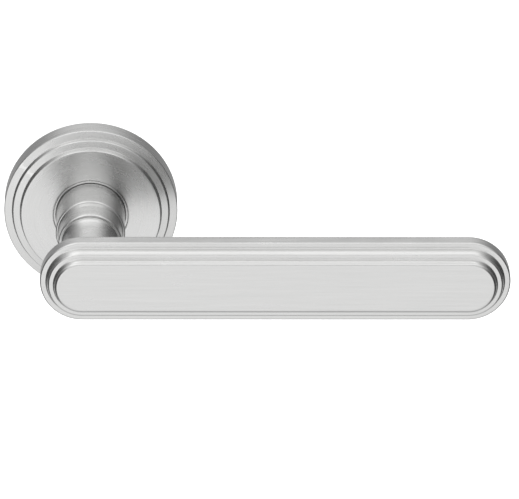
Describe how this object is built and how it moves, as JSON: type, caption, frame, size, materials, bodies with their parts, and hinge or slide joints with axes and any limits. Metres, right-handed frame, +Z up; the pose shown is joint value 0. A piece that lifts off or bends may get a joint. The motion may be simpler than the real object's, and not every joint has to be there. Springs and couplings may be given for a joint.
{
  "type": "lever door handle on a round rose",
  "caption": "Door lever handle: long round-ended grip with stepped edges on a stepped neck, sprung to return on a round stepped rose, with its square spindle and door fixings.",
  "frame": {"origin": "where the spindle's axis crosses the door's face, at the centre of the rose's back", "axes": "+Y into the door along the spindle, +X along the grip away from the neck, +Z up"},
  "size_m": [0.1497, 0.1025, 0.052],
  "materials": {
    "satin_chrome": "satin chrome, brushed along the grip and round the turned parts",
    "cast_zinc": "die-cast zinc, as cast",
    "nylon": "natural white nylon",
    "guide_ring_metal": "turned and satin finished",
    "plated_steel": "bright zinc plate",
    "pressed_steel": "stamped and hardened",
    "spring_steel": "drawn spring wire and strip, lightly oiled",
    "black_steel": "black oxide",
    "ground_steel": "ground"
  },
  "bodies": {
    "rose": {"rose_base": "cast_zinc", "rose_cover": "satin_chrome", "guide_ring": "guide_ring_metal", "bearing_bush": "nylon", "return_spring": "spring_steel", "bolt_posts": "plated_steel", "wood_screws": "plated_steel", "stop_pins": "ground_steel", "cover_set_screw": "black_steel"},
    "lever": {"grip": "satin_chrome", "neck": "satin_chrome", "neck_screw": "black_steel", "neck_screw_washer": "spring_steel", "locating_pins": "ground_steel", "spindle": "plated_steel", "spindle_grub_screw": "black_steel", "drive_ring": "pressed_steel", "thrust_washer": "plated_steel", "disc_spring": "spring_steel", "circlip": "spring_steel"}
  },
  "joints": [
    {"name": "lever_turn", "type": "hinge", "parent": "rose", "child": "lever", "pos_m": [0, 0, 0], "axis": [0, 1, 0], "range_deg": [0, 45], "stiffness_Nm_per_rad": 0.5, "springref_deg": -45.84, "deforming": ["return_spring"]}
  ]
}
